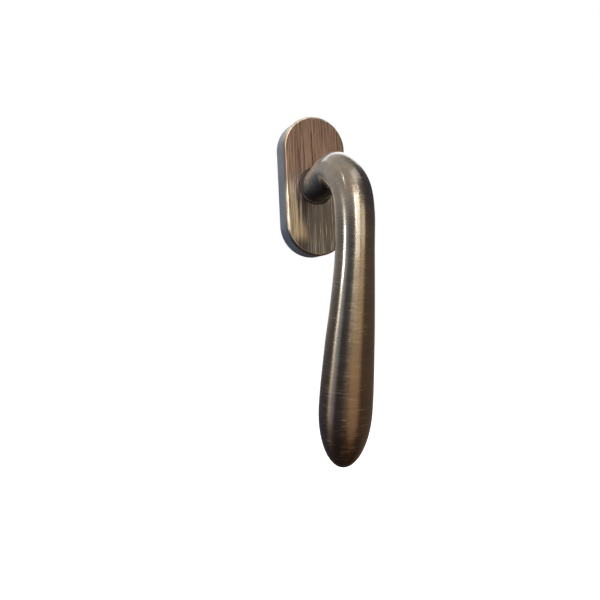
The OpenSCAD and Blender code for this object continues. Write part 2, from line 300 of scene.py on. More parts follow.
def light_the_room():
    """Dim, directional light for the metal, and a pale backdrop for the eye."""
    world = bpy.data.worlds.new("studio")
    world.use_nodes = True
    bpy.context.scene.world = world
    tree = world.node_tree
    tree.nodes.clear()
    way = add(tree, "SeparateXYZ", {0: add(tree, "TexCoord").outputs["Generated"]}).outputs
    below = blend_colours(tree, ramp(tree, way["X"], *LEFT_BELOW), ROOM_LOW_RIGHT, ROOM_LOW_LEFT)
    below = blend_colours(tree, ramp(tree, way["Z"], *DEEP), below, ROOM_DARK)
    over = blend_colours(tree, ramp(tree, way["X"], *LEFT_ABOVE), ROOM_HIGH_RIGHT, ROOM_HIGH_LEFT)
    around = blend_colours(tree, ramp(tree, way["Z"], *HORIZON), below, over)
    for azimuth, elevation, spread, colour in SOFT_GLOWS:
        glow = add(tree, "VectorMath", {0: add(tree, "TexCoord").outputs["Generated"],
                                        1: way_to(azimuth, elevation)}, operation="DOT_PRODUCT")
        amount = ramp(tree, glow.outputs["Value"], math.cos(math.radians(spread)), 1.0)
        around = blend_colours(tree, amount, around, colour)
    room = add(tree, "Background", {"Color": around})
    backdrop = add(tree, "Background", {"Color": PALE})
    seen = add(tree, "LightPath").outputs["Is Camera Ray"]
    both = add(tree, "MixShader", {0: seen, 1: room.outputs[0], 2: backdrop.outputs[0]})
    add(tree, "OutputWorld", {"Surface": both.outputs[0]})


light_the_room()
print("the room has", len(SOFT_GLOWS), "soft glows")

# %% [markdown]
# The floor only carries the handle's faint shadow, so it is matt, pale and slightly glowing.

# %% Floor finish
FLOOR_GREY, FLOOR_ROUGH, FLOOR_GLOW = (0.8, 0.8, 0.8, 1), 0.9, 0.85


def pale_floor():
    finish = bpy.data.materials.new("pale_floor")
    finish.use_nodes = True
    tree = finish.node_tree
    shader = tree.nodes["Principled BSDF"]
    shader.inputs["Base Color"].default_value = FLOOR_GREY
    shader.inputs["Roughness"].default_value = FLOOR_ROUGH
    shader.inputs["Emission Color"].default_value = PALE
    shader.inputs["Emission Strength"].default_value = FLOOR_GLOW
    return finish


floor.data.materials.append(pale_floor())
print("floor finish:", floor.data.materials[0].name)

# %% [markdown]
# ## Finishes
# Each finish is a small node tree. Brushed metal is noise drawn out into hairlines: it is
# fine across the brush marks and long along them. It shifts the colour a little, changes the
# roughness, and cuts a shallow bump. A clear lacquer lies over the bronze as a smooth coat.

# %% Helpers for finishes
def new_finish(name, **sockets):
    """A material whose shader has these sockets set."""
    finish = bpy.data.materials.new(name)
    finish.use_nodes = True
    tree = finish.node_tree
    shader = tree.nodes["Principled BSDF"]
    for key, value in sockets.items():
        shader.inputs[key.replace("_", " ")].default_value = value
    return finish, tree, shader


# Noise lies between 0 and 1, but keeps to the middle: nearly all of it is in the first span
# and much of it in the second.
MOST_NOISE, MID_NOISE = (0.3, 0.7), (0.35, 0.65)


def hairlines(tree, place, lines, detail=6.0, roughness=0.6):
    """Noise with this many features per metre along each direction."""
    drawn = add(tree, "Mapping", {"Vector": place, "Scale": lines}).outputs["Vector"]
    noise = add(tree, "TexNoise", {"Vector": drawn, "Scale": 1.0, "Detail": detail,
                                   "Roughness": roughness})
    return noise.outputs[0]


def object_place(tree):
    return add(tree, "TexCoord").outputs["Object"]


def cut_bump(tree, shader, height, depth, strength=1.0, under_coat=False):
    """Let a height in 0 to 1 stand this many metres proud in the shader's normal."""
    bump = add(tree, "Bump", {"Height": height, "Distance": depth, "Strength": strength})
    tree.links.new(bump.outputs[0], shader.inputs["Normal"])
    if under_coat:
        tree.links.new(bump.outputs[0], shader.inputs["Coat Normal"])


# %% [markdown]
# ### Lever bronze
# The lever was polished round and round, so its hairlines run across the grip. They have to
# follow the bend, so they don't read plain coordinates: every vertex carries its place on
# the lever as it would be if it were straightened, in an attribute called "straight".
# Towards the tip the bronze turns browner and is darkened with painted shade, so the knuckle
# is palest. The neck is greyer, and its underside is duller and darkened with painted shade.

# %% Lever bronze
LEVER_NECK = rgb(150, 156, 150)
LEVER_PALE = rgb(164, 150, 130)
LEVER_WARM = rgb(154, 134, 106)
# Browner towards the tip, and darker there as painted shade
LEVER_BROWN_AND_SHADE = rgb(132, 98, 72)
# Painted shade for the neck's underside and the crook
LEVER_PAINTED_SHADE = rgb(84, 85, 88)
SCRATCH_PALE = rgb(220, 200, 172)
# Where each colour starts and ends, in metres along the lever from its neck's end
GREY_NECK, SHADED_DULL_CROOK = (0.034, 0.018), (0.036, 0.022)
WARM_GRIP, TIP_BROWN_AND_SHADE = (0.05, 0.13), (0.09, 0.17)
SHADED_UNDERSIDE = (0.001, -0.005)


def lever_bronze():
    finish, tree, shader = new_finish("lever_bronze", Metallic=1.0, Anisotropic=0.75,
                                      Coat_Weight=1.0, Coat_Roughness=0.03, Coat_IOR=1.6)
    place = add(tree, "Attribute", attribute_name="straight").outputs["Vector"]
    parted = add(tree, "SeparateXYZ", {0: place}).outputs
    along = parted["Z"]
    fine = hairlines(tree, place, (140, 140, 5000), 2.0)
    broad = hairlines(tree, place, (70, 70, 1300), 3.0)
    scratch = ramp(tree, hairlines(tree, place, (150, 150, 2600), 1.0), 0.62, 0.72)
    cloud = hairlines(tree, place, (90, 90, 90), 3.0)
    colour = blend_colours(tree, ramp(tree, along, *WARM_GRIP), LEVER_PALE, LEVER_WARM)
    # Painted shade: the grip darkens towards the tip, along with a browner tint
    colour = blend_colours(tree, ramp(tree, along, *TIP_BROWN_AND_SHADE), colour, LEVER_BROWN_AND_SHADE)
    colour = blend_colours(tree, ramp(tree, along, *GREY_NECK), colour, LEVER_NECK)
    # Painted shade under the neck and in the crook; the same mask also makes it duller
    crook_shade_and_dullness = times(tree, ramp(tree, along, *SHADED_DULL_CROOK), ramp(tree, parted["Y"], *SHADED_UNDERSIDE))
    colour = blend_colours(tree, crook_shade_and_dullness, colour, LEVER_PAINTED_SHADE)
    marks = ramp(tree, broad, *MOST_NOISE, 0.93, 1.05)
    marks = times(tree, marks, ramp(tree, fine, *MOST_NOISE, 0.95, 1.04))
    marks = times(tree, marks, ramp(tree, cloud, *MOST_NOISE, 0.90, 1.08))
    colour = blend_colours(tree, 1.0, colour, marks, "MULTIPLY")
    colour = blend_colours(tree, times(tree, scratch, 0.35), colour, SCRATCH_PALE)
    tree.links.new(colour, shader.inputs["Base Color"])
    rough = plus(tree, ramp(tree, fine, 0.3, 0.75, 0.27, 0.34), times(tree, scratch, 0.16))
    rough = plus(tree, rough, times(tree, crook_shade_and_dullness, 0.22))
    tree.links.new(rough, shader.inputs["Roughness"])
    tangent = add(tree, "Tangent", direction_type="UV_MAP", uv_map="along_and_round")
    tree.links.new(tangent.outputs[0], shader.inputs["Tangent"])
    cut_bump(tree, shader, plus(tree, times(tree, fine, 0.4), broad), 0.000006, 0.5)
    return finish


# %% [markdown]
# ### Cap bronze
# The cap is thin sheet, brushed straight up and down before it was lacquered. Its marks are
# coarser than the lever's and they vary more, from nearly black lines to pale ones. The brown
# is rosy above the neck. Below it there is painted shade for the lever's shadow and dark
# reflection, with a golden painted reflection at the lower left and painted shade at the foot.

# %% Cap bronze
# A painted reflection of the bright window, golden, at the lower left
CAP_REFLECTED_GOLD = rgb(214, 190, 150)
CAP_ROSE = rgb(146, 117, 98)
# Painted shade below the neck: the lever's shadow and dark reflection
CAP_PAINTED_SHADE = rgb(82, 72, 67)
# Painted shade at the foot of the cap
CAP_FOOT_SHADE = rgb(70, 67, 70)
CAP_STREAK = rgb(196, 182, 164)
CAP_DARK = rgb(70, 52, 42)
# Where each colour starts and ends, in metres right of the turning axis or above it
PAINTED_SHADE_BELOW, REFLECTION_LEFT = (0.012, -0.012), (-0.010, -0.015)
REFLECTION_ABOVE, FOOT_SHADE_BELOW = (-0.031, -0.022), (-0.024, -0.033)
REFLECTION_LEANS = 0.25


def cap_bronze():
    finish, tree, shader = new_finish("cap_bronze", Metallic=1.0, Anisotropic=0.5,
                                      Coat_Weight=0.6, Coat_Roughness=0.10, Coat_IOR=1.5)
    place = object_place(tree)
    fine = hairlines(tree, place, (5200, 400, 90), 2.0)
    broad = hairlines(tree, place, (1900, 150, 38), 3.0)
    parted = add(tree, "SeparateXYZ", {0: place}).outputs
    # This mask is painted shade below the neck; the golden painted reflection and the pale
    # streaks keep to it
    low = ramp(tree, parted["Z"], *PAINTED_SHADE_BELOW)
    leaning_line = plus(tree, parted["X"], times(tree, parted["Z"], REFLECTION_LEANS))
    left = ramp(tree, leaning_line, *REFLECTION_LEFT)
    pale = blend_colours(tree, low, CAP_ROSE, CAP_PAINTED_SHADE)
    # The golden painted reflection at the lower left
    painted_reflection = times(tree, times(tree, low, left), ramp(tree, parted["Z"], *REFLECTION_ABOVE))
    pale = blend_colours(tree, painted_reflection, pale, CAP_REFLECTED_GOLD)
    # Painted shade at the foot
    pale = blend_colours(tree, ramp(tree, parted["Z"], *FOOT_SHADE_BELOW), pale, CAP_FOOT_SHADE)
    amount = plus(tree, times(tree, fine, 0.5), times(tree, broad, 0.5))
    colour = blend_colours(tree, ramp(tree, amount, 0.34, 0.60), CAP_DARK, pale)
    streaks = times(tree, low, ramp(tree, broad, 0.54, 0.70, 0.0, 0.8))
    colour = blend_colours(tree, streaks, colour, CAP_STREAK)
    tree.links.new(colour, shader.inputs["Base Color"])
    tree.links.new(ramp(tree, fine, 0.3, 0.75, 0.30, 0.44), shader.inputs["Roughness"])
    tangent = add(tree, "Tangent", direction_type="UV_MAP", uv_map="across_the_brush")
    tree.links.new(tangent.outputs[0], shader.inputs["Tangent"])
    cut_bump(tree, shader, plus(tree, times(tree, fine, 0.5), broad), 0.00004, 0.8, True)
    return finish


# %% [markdown]
# ### Rim bronze
# The cap's rolled edge has a finish of its own. It carries a painted highlight at the top and
# below the neck, and painted shade between them and at the foot.

# %% Rim bronze
# The two paler colours are a painted highlight; the duller one is painted shade
RIM_SHADED = rgb(140, 120, 102)
RIM_LIT = rgb(214, 190, 158)
RIM_LIT_BRIGHT = rgb(250, 238, 218)
# Where the painted highlights start and end, in metres above the turning axis
LIT_TOP, LIT_BELOW_NECK_FROM, LIT_BELOW_NECK_TO = (0.018, 0.028), (0.004, -0.005), (-0.024, -0.017)


def rim_bronze():
    """The rolled edge of the cap, with painted highlights at its top and below the neck."""
    finish, tree, shader = new_finish("rim_bronze", Metallic=1.0, Coat_Weight=0.5,
                                      Coat_Roughness=0.1)
    place = object_place(tree)
    height = add(tree, "SeparateXYZ", {0: place}).outputs["Z"]
    wear = hairlines(tree, place, (500, 500, 140), 4.0)
    colour = blend_colours(tree, ramp(tree, wear, *MID_NOISE), RIM_LIT, RIM_LIT_BRIGHT)
    # Painted highlights at the top and below the neck; painted shade elsewhere
    painted_highlight_top = ramp(tree, height, *LIT_TOP)
    painted_highlight_below_neck = times(tree, ramp(tree, height, *LIT_BELOW_NECK_FROM), ramp(tree, height, *LIT_BELOW_NECK_TO))
    colour = blend_colours(tree, plus(tree, painted_highlight_top, painted_highlight_below_neck), RIM_SHADED, colour)
    tree.links.new(colour, shader.inputs["Base Color"])
    tree.links.new(ramp(tree, wear, *MOST_NOISE, 0.28, 0.42), shader.inputs["Roughness"])
    cut_bump(tree, shader, wear, 0.00002, 0.4)
    return finish


# %% [markdown]
# ### Nylon and steel
# Moulded nylon is matt with a fine spark-eroded grain. The steels differ in plating: bright
# zinc on pressed parts and the square bar, yellow zinc on screws, and none on the hub.

# %% Nylon and steel
def nylon(name, dark, pale):
    finish, tree, shader = new_finish(name, IOR=1.5, Specular_IOR_Level=0.45)
    place = object_place(tree)
    fine = hairlines(tree, place, (4200, 4200, 4200), 2.0)
    cloud = hairlines(tree, place, (90, 90, 90), 3.0)
    colour = blend_colours(tree, ramp(tree, cloud, *MOST_NOISE), dark, pale)
    grains = ramp(tree, fine, *MOST_NOISE, 0.93, 1.04)
    colour = blend_colours(tree, 1.0, colour, grains, "MULTIPLY")
    tree.links.new(colour, shader.inputs["Base Color"])
    tree.links.new(ramp(tree, fine, *MOST_NOISE, 0.42, 0.58), shader.inputs["Roughness"])
    cut_bump(tree, shader, fine, 0.00003, 0.5)
    return finish


def steel(name, dark, pale, lines, shine):
    finish, tree, shader = new_finish(name, Metallic=1.0)
    place = object_place(tree)
    fine = hairlines(tree, place, lines, 3.0)
    cloud = hairlines(tree, place, (700, 700, 700), 4.0)
    amount = plus(tree, times(tree, fine, 0.7), times(tree, cloud, 0.3))
    colour = blend_colours(tree, ramp(tree, amount, *MID_NOISE), dark, pale)
    tree.links.new(colour, shader.inputs["Base Color"])
    tree.links.new(ramp(tree, amount, *MID_NOISE, *shine), shader.inputs["Roughness"])
    cut_bump(tree, shader, fine, 0.000005, 0.35)
    return finish


FINISHES = {
    "grey_nylon": nylon("grey_nylon", rgb(112, 117, 128), rgb(132, 136, 144)),
    "dark_nylon": nylon("dark_nylon", rgb(76, 65, 56), rgb(94, 82, 71)),
    "white_nylon": nylon("white_nylon", rgb(206, 203, 192), rgb(226, 224, 216)),
    "plated_steel": steel("plated_steel", rgb(190, 193, 198), rgb(208, 211, 215),
                          (300, 300, 900), (0.31, 0.34)),
    "screw_steel": steel("screw_steel", rgb(196, 180, 134), rgb(228, 216, 178),
                         (900, 900, 900), (0.20, 0.32)),
    "hardened_steel": steel("hardened_steel", rgb(140, 143, 149), rgb(182, 185, 190),
                            (2400, 120, 2400), (0.28, 0.40)),
    "spring_steel": steel("spring_steel", rgb(112, 118, 132), rgb(166, 170, 178),
                          (2600, 2600, 300), (0.18, 0.3)),
    "bronze_lever": lever_bronze(),
    "bronze_cap": cap_bronze(),
    "bronze_rim": rim_bronze(),
}
print("finishes:", sorted(FINISHES))

# %% [markdown]
# Eleven parts are already right as they are drawn, such as the moulded plinth and the sprung
# steel inside it, and only get their finish here. The others are modelled again below.

# %% Finish the parts that are shown as drawn
def paint(piece, finish):
    piece.data.materials.clear()
    piece.data.materials.append(FINISHES[finish])


def paint_drawn_part(node, finish):
    """A drawn part keeps its mesh; only the material in its slot changes."""
    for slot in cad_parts[node].material_slots:
        slot.material = FINISHES[finish]


SHOWN_AS_DRAWN = {
    "base_housing": "grey_nylon", "cover_frame": "white_nylon", "thrust_washer": "white_nylon",
    "drive_hub": "hardened_steel", "spindle_pin": "spring_steel",
    "leaf_spring_left": "spring_steel", "leaf_spring_right": "spring_steel",
    "wave_washer": "spring_steel", "retaining_ring": "spring_steel",
    "cover_clip_top": "spring_steel", "cover_clip_bottom": "spring_steel",
}
for node, finish in SHOWN_AS_DRAWN.items():
    paint_drawn_part(node, finish)
print("parts shown as drawn:", len(SHOWN_AS_DRAWN))

# %% [markdown]
# ## The lever
# The real lever is one casting: a round neck leaves the rose, bends down at the knuckle, and
# swells into a flattened tear-drop grip. It could be a curve with a bevel, but a curve keeps
# one section shape. Here one ring of vertices is extruded from station to station, and each
# new ring is turned, widened and flattened, as a smith draws out a bar. Subdivision then
# rounds it. The stations are those of the drawing: out, up, half width, half thickness.

# %% The stations of the lever
NECK_OUT, NECK_R = 11.6, 8.0
STATIONS = [
    (NECK_OUT, 0, NECK_R, NECK_R), (20, 1, 8.4, 8.4), (35, 3, 8.8, 8.8), (49, -5.3, 9, 9),
    (54, -16.7, 9, 8.75), (52.4, -36.4, 8.9, 8.5), (47.2, -60.2, 10.3, 9.2),
    (41.4, -81, 11.8, 10.3), (34.1, -109, 13, 11),
]
TIP = (27.9, -137)
STEPS, TIP_STEPS, SIDES = 5, 14, 32


def between(a, b, c, d, t):
    """A smooth curve from b to c that also heeds its neighbours a and d."""
    return 0.5 * (2 * b + (c - a) * t + (2 * a - 5 * b + 4 * c - d) * t * t
                  + (3 * b - a - 3 * c + d) * t ** 3)


def lever_rings():
    """Every ring as (out, up, half width, half thickness)."""
    first, second = STATIONS[:2]
    before = (2 * first[0] - second[0], 2 * first[1] - second[1], NECK_R, NECK_R)
    path = [before, *STATIONS, (*TIP, *STATIONS[-2][2:])]
    rings = [tuple(between(*(path[i + n][k] for n in (-1, 0, 1, 2)), step / STEPS)
                   for k in range(4))
             for i in range(1, len(STATIONS)) for step in range(STEPS)]
    end = STATIONS[-1]
    for step in range(TIP_STEPS):
        a = math.pi / 2 * step / TIP_STEPS
        rings.append((end[0] + (TIP[0] - end[0]) * math.sin(a),
                      end[1] + (TIP[1] - end[1]) * math.sin(a),
                      end[2] * math.cos(a), end[3] * math.cos(a)))
    return rings


RINGS = lever_rings()


def leaning(i):
    """How far the lever's direction has turned from straight out, at ring i."""
    if i == 0:
        return 0.0
    a, b = RINGS[i - 1], RINGS[i + 1] if i + 1 < len(RINGS) else TIP
    return math.atan2(b[1] - a[1], b[0] - a[0])


print("rings:", len(RINGS))

# %% Draw the lever out, ring by ring
# Subdivision pulls a ring in, so the rings start this much larger.
SWELL = 6 / (4 + 2 * math.cos(2 * math.pi / SIDES))


def swing(angle, centre):
    """Turn what is selected about the left-to-right axis through a point."""
    bpy.ops.transform.rotate(value=angle, orient_axis="X", center_override=centre)


def mark_ring(piece, number):
    shape = bmesh.from_edit_mesh(piece.data)
    layer = shape.verts.layers.int.get("ring") or shape.verts.layers.int.new("ring")
    for vertex in shape.verts:
        if vertex.select:
            vertex[layer] = number


def draw_out_lever():
    take_up()
    bpy.ops.mesh.primitive_circle_add(vertices=SIDES, radius=NECK_R * SWELL * MM,
                                      fill_type="NOTHING", rotation=TOWARDS_ROOM,
                                      location=on_rose(0, 0, NECK_OUT))
    lever = start_piece("lever_casting")
    open_up(lever)
    bpy.ops.mesh.select_all(action="SELECT")
    mark_ring(lever, 0)
    for i in range(1, len(RINGS)):
        last, now = RINGS[i - 1], RINGS[i]
        here, there = on_rose(0, last[1], last[0]), on_rose(0, now[1], now[0])
        bpy.ops.mesh.extrude_region_move()
        swing(-leaning(i - 1), here)
        bpy.ops.transform.resize(value=(now[2] / last[2], 1, now[3] / last[3]),
                                 center_override=here)
        swing(leaning(i), here)
        bpy.ops.transform.translate(value=there - here)
        mark_ring(lever, i)
    bpy.ops.mesh.extrude_region_move()
    bpy.ops.transform.translate(value=on_rose(0, TIP[1], TIP[0]) - there)
    bpy.ops.mesh.merge(type="CENTER")
    mark_ring(lever, len(RINGS))
    return lever


lever = draw_out_lever()
print("lever cage:", len(lever.data.vertices), "vertices")

# %% [markdown]
# The bronze needs to know where each vertex would be on a straightened lever. That is easy to
# tell while the lever is still a cage of rings. Subdivision then blends these places along
# with the shape.

# %% Note each vertex's place on the straightened lever
def note_straight_place(piece):
    """Store across, through and along, in metres, before the shape is rounded."""
    open_up(piece)
    shape = bmesh.from_edit_mesh(piece.data)
    ring_of = shape.verts.layers.int["ring"]
    straight = shape.verts.layers.float_vector.new("straight")
    places = [on_rose(0, ring[1], ring[0]) for ring in RINGS] + [on_rose(0, TIP[1], TIP[0])]
    along = [0.0]
    for a, b in zip(places, places[1:]):
        along.append(along[-1] + (b - a).length)
    worst = 0.0
    for vertex in shape.verts:
        i = vertex[ring_of]
        lean = leaning(min(i, len(RINGS) - 1))
        away = vertex.co - places[i]
        through = away.dot(Vector((0, math.sin(lean), math.cos(lean))))
        worst = max(worst, abs(away.dot(Vector((0, -math.cos(lean), math.sin(lean))))))
        vertex[straight] = (vertex.co.x, through, along[i])
    bmesh.update_edit_mesh(piece.data)
    print(f"lever length {along[-1] * 1000:.1f} mm, worst tilt error {worst * 1e6:.1f} um")


note_straight_place(lever)
finish_with(lever, "SUBSURF", levels=2, render_levels=2)
print(f"lowest point {min(v.co.z for v in lever.data.vertices) * 1000:.2f} mm")

# %% [markdown]
# The part of the neck inside the rose is turned: a journal that runs in the bush, and a groove
# for the retaining ring. Drawn after the subdivision, its corners stay crisp. The square
# socket and the cross hole for the pin are cut with shapes that are thrown away afterwards.

# %% Turn the journal
JOURNAL = [(7.5, 11.6), (7.5, 5.95), (7.15, 5.95), (7.15, 4.9), (7.5, 4.9), (7.5, 4.25),
           (7.3, 4.05)]


def resize_round(grow, out, right=0.0, up=0.0):
    """Widen what is selected about an axis that stands straight out of the rose."""
    bpy.ops.transform.resize(value=(grow, 1, grow), center_override=on_rose(right, up, out))


def draw_profile(profile, radius, out):
    """Extrude the selected ring through (radius, out) corners, from where it is."""
    for next_radius, next_out in profile:
        bpy.ops.mesh.extrude_region_move()
        bpy.ops.transform.translate(value=on_rose(0, 0, next_out - out))
        resize_round(next_radius / radius, next_out)
        radius, out = next_radius, next_out


def turn_journal(piece):
    open_up(piece)
    rim = pick(piece, lambda e: e.is_boundary, "EDGE")
    print("the journal starts from a ring of", rim, "edges")
    draw_profile(JOURNAL, NECK_R, NECK_OUT)
    bpy.ops.mesh.edge_face_add()
    bpy.ops.mesh.select_all(action="SELECT")
    bpy.ops.mesh.normals_make_consistent(inside=False)


turn_journal(lever)

# %% Cut with a spare shape
def cut_away(piece, cutters):
    """Take these shapes out of the piece, and delete them."""
    take_up()
    for cutter in cutters:
        finish_with(piece, "BOOLEAN", operation="DIFFERENCE", solver="EXACT", object=cutter)
        bpy.data.objects.remove(cutter)


def spare_block(low, high):
    """A block between two corners, each given as right, up and out."""
    take_up()
    middle = (on_rose(*low) + on_rose(*high)) / 2
    bpy.ops.mesh.primitive_cube_add(size=1, location=middle)
    block = bpy.context.object
    block.scale = [abs(a - b) for a, b in zip(on_rose(*low), on_rose(*high))]
    return start_piece("spare_block")


def spare_rod(radius, low, high, sides=32):
    """A rod between two points, each given as right, up and out."""
    take_up()
    a, b = on_rose(*low), on_rose(*high)
    bpy.ops.mesh.primitive_cylinder_add(vertices=sides, radius=radius * MM,
                                        depth=(b - a).length, location=(a + b) / 2,
                                        rotation=(b - a).to_track_quat("Z", "Y").to_euler())
    return start_piece("spare_rod")


SPINDLE_HALF, SOCKET_HALF, SOCKET_OUT = 3.5, 3.55, 24
PIN_R, PIN_OUT = 1.25, 8.7
# A spare shape reaches past what it cuts: behind the journal, and to both sides of the neck.
BEHIND_JOURNAL, BESIDE_NECK = 3, 9
cut_away(lever, [
    spare_block((-SOCKET_HALF, -SOCKET_HALF, BEHIND_JOURNAL),
                (SOCKET_HALF, SOCKET_HALF, SOCKET_OUT)),
    spare_rod(PIN_R, (-BESIDE_NECK, 0, PIN_OUT), (BESIDE_NECK, 0, PIN_OUT)),
])
print("lever faces after cutting:", len(lever.data.polygons))

# %% [markdown]
# Brushed metal stretches its highlights across the brush marks. The shader takes that
# direction from a UV map, so the lever gets one that runs along it and round it.

# %% Unroll the lever, so that its shine can follow the brush marks
UV_PER_METRE, HALF_TURN = 10, 0.5


def unroll(piece):
    """A UV map that runs along the lever one way and round it the other."""
    mesh = piece.data
    sheet = mesh.uv_layers.new(name="along_and_round")
    straight = mesh.attributes["straight"].data
    for face in mesh.polygons:
        turns = []
        for corner in face.loop_indices:
            across, through, _ = straight[mesh.loops[corner].vertex_index].vector
            turns.append(math.atan2(through, across) / (2 * math.pi))
        for corner, around in zip(face.loop_indices, turns):
            if max(turns) - around > HALF_TURN:
                around += 1
            along = straight[mesh.loops[corner].vertex_index].vector[2]
            sheet.data[corner].uv = (along * UV_PER_METRE, around)


unroll(lever)
paint(lever, "bronze_lever")
smooth(lever, 40)
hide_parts("lever")
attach(lever, "lever_arm")

# %% [markdown]
# ## The cap
# The cap is an oval of 0.8 mm sheet, pressed over a tool: a flat face, a rolled edge 1 mm
# wide, and a short lip that nearly touches the plinth. It is easiest to model as a round
# dish, turned ring by ring, and then to pull its two halves apart into an oval, because the
# rolled edge keeps its width that way. The hole for the neck is left where it is.

# %% Turn a round dish, then pull it into an oval
ROSE_HALF_W, ROSE_HALF_RUN = 16.25, 18.75
CAP_LIP_OUT, CAP_FACE_OUT, CAP_ROLL, CAP_SHEET = 9.3, 11.2, 1.0, 0.8
CAP_HOLE_R, ROLL_STEPS, OVAL_SIDES = 9.05, 6, 160
# A hem is a narrow flat ring that keeps a round edge from shading into the face.
ROLL_HEM, HOLE_HEM, HOLE_ROUND, HOLE_BREAK = 0.15, 0.15, 0.25, 0.07


def half_step(sides):
    """Turned by half a side, a circle has no vertex on the line where an oval is cut."""
    return (math.pi / 2, math.pi / sides, 0)


def pull_into_oval(piece, run, beyond):
    """Move everything outside the hole up or down, by half the oval's straight run."""
    for sign in (1, -1):
        pick(piece, lambda v: v.co.z * sign > 0 and v.co.xz.length > beyond * MM)
        bpy.ops.transform.translate(value=on_rose(0, sign * run, 0))


def press_cap():
    take_up()
    bpy.ops.mesh.primitive_circle_add(vertices=OVAL_SIDES, radius=ROSE_HALF_W * MM,
                                      fill_type="NOTHING", location=on_rose(0, 0, CAP_LIP_OUT),
                                      rotation=half_step(OVAL_SIDES))
    cap = start_piece("cap_pressing")
    open_up(cap)
    bpy.ops.mesh.select_all(action="SELECT")
    roll = [(ROSE_HALF_W - CAP_ROLL + CAP_ROLL * math.cos(a),
             CAP_FACE_OUT - CAP_ROLL + CAP_ROLL * math.sin(a))
            for a in (math.pi / 2 * k / ROLL_STEPS for k in range(ROLL_STEPS + 1))]
    roll.append((ROSE_HALF_W - CAP_ROLL - ROLL_HEM, CAP_FACE_OUT))
    hole = [(CAP_HOLE_R + HOLE_ROUND + HOLE_HEM, CAP_FACE_OUT),
            (CAP_HOLE_R + HOLE_ROUND, CAP_FACE_OUT),
            (CAP_HOLE_R + HOLE_BREAK, CAP_FACE_OUT - HOLE_BREAK),
            (CAP_HOLE_R, CAP_FACE_OUT - HOLE_ROUND)]
    draw_profile([*roll, *hole], ROSE_HALF_W, CAP_LIP_OUT)
    pull_into_oval(cap, ROSE_HALF_RUN, CAP_HOLE_R + 1)
    bpy.ops.mesh.select_all(action="SELECT")
    bpy.ops.mesh.normals_make_consistent(inside=False)
    return cap


cap = press_cap()
print("cap corners:", len(cap.data.vertices))

# %% Give the cap its thickness, and split its two finishes
def map_flat(piece, name):
    """A UV map that runs across the rose one way and up it the other."""
    sheet = piece.data.uv_layers.new(name=name)
    for face in piece.data.polygons:
        for corner in face.loop_indices:
            place = piece.data.vertices[piece.data.loops[corner].vertex_index].co
            sheet.data[corner].uv = (place.x * UV_PER_METRE, place.z * UV_PER_METRE)


# A normal this near to straight out is flat, and one this far from it belongs to the lip.
FACES_ROOM, FACES_SIDE, BEYOND_HOLE = -0.995, -0.35, 10


def face_is_rolled(face):
    """The rolled edge, but not the lip, the flat face or the hole."""
    far = abs(face.center.z) > ROSE_HALF_RUN * MM or abs(face.center.x) > BEYOND_HOLE * MM
    return far and FACES_ROOM < face.normal.y < FACES_SIDE


finish_with(cap, "SOLIDIFY", thickness=CAP_SHEET * MM, offset=-1, use_even_offset=True)
map_flat(cap, "across_the_brush")
paint(cap, "bronze_cap")
cap.data.materials.append(FINISHES["bronze_rim"])
rolled = [face for face in cap.data.polygons if face_is_rolled(face)]
for face in rolled:
    face.material_index = 1
smooth(cap, 30)
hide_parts("rose_cover")
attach(cap, "cap")
print("rolled faces:", len(rolled))

# %% [markdown]
# ## Turned and moulded rings
# The bush round the neck, the sleeves that carry the bosses, and the rivets are all round.
# Spin could make them, but drawing a ring through the corners of a profile gives the same
# shape with no seam to merge. A small bevel afterwards breaks the sharp corners.

# %% A turned part from its profile
SAME_POINT, SAME_HEIGHT, CORNER = 1e-6, 1e-7, 35


def turn_part(name, profile, sides=64, right=0.0, up=0.0, hollow=True, edge=0.0):
    """Draw a ring through (radius, out) corners; a hollow part ends where it started."""
    take_up()
    radius, out = profile[0]
    bpy.ops.mesh.primitive_circle_add(vertices=sides, radius=radius * MM,
                                      fill_type="NOTHING", location=on_rose(0, 0, out),
                                      rotation=TOWARDS_ROOM)
    piece = start_piece(name)
    open_up(piece)
    bpy.ops.mesh.select_all(action="SELECT")
    draw_profile(profile[1:] + ([profile[0]] if hollow else []), radius, out)
    if not hollow:
        bpy.ops.mesh.edge_face_add()
        pick(piece, lambda v: abs(v.co.y + profile[0][1] * MM) < SAME_HEIGHT)
        bpy.ops.mesh.edge_face_add()
    bpy.ops.mesh.select_all(action="SELECT")
    bpy.ops.mesh.remove_doubles(threshold=SAME_POINT)
    bpy.ops.mesh.normals_make_consistent(inside=False)
    bpy.ops.transform.translate(value=on_rose(right, up, 0))
    take_up(piece)
    if edge:
        finish_with(piece, "BEVEL", width=edge * MM, segments=3, limit_method="ANGLE",
                    angle_limit=math.radians(CORNER))
    return piece


# %% The guide bush
BUSH = [(7.53, 7.0), (8.5, 7.0), (8.5, 9.6), (8.95, 9.6), (8.95, 11.15), (8.75, 11.35),
        (8.3, 11.4), (7.7, 11.3), (7.53, 11.1)]
bush = turn_part("neck_bush", BUSH, sides=96, edge=0.05)
paint(bush, "dark_nylon")
smooth(bush, 40)
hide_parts("guide_bush")
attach(bush, "rose")

# %% [markdown]
# ### Boss sleeves
# Two steel sleeves take the pull of the screws. Each has a countersunk bore and ends behind
# the rose in the 10 mm locating boss. One is turned, and the other is a copy with its own
# mesh, moved down by the screw pitch.

# %% The two sleeves
SCREW_UP = 21.5


def copy_piece(piece, name, move):
    """A copy with its own mesh, moved in its mesh and not as an object."""
    twin = piece.copy()
    twin.data = piece.data.copy()
    twin.name, twin.data.name = name, name
    twin.data.transform(Matrix.Translation(move))
    bpy.context.scene.collection.objects.link(twin)
    return twin


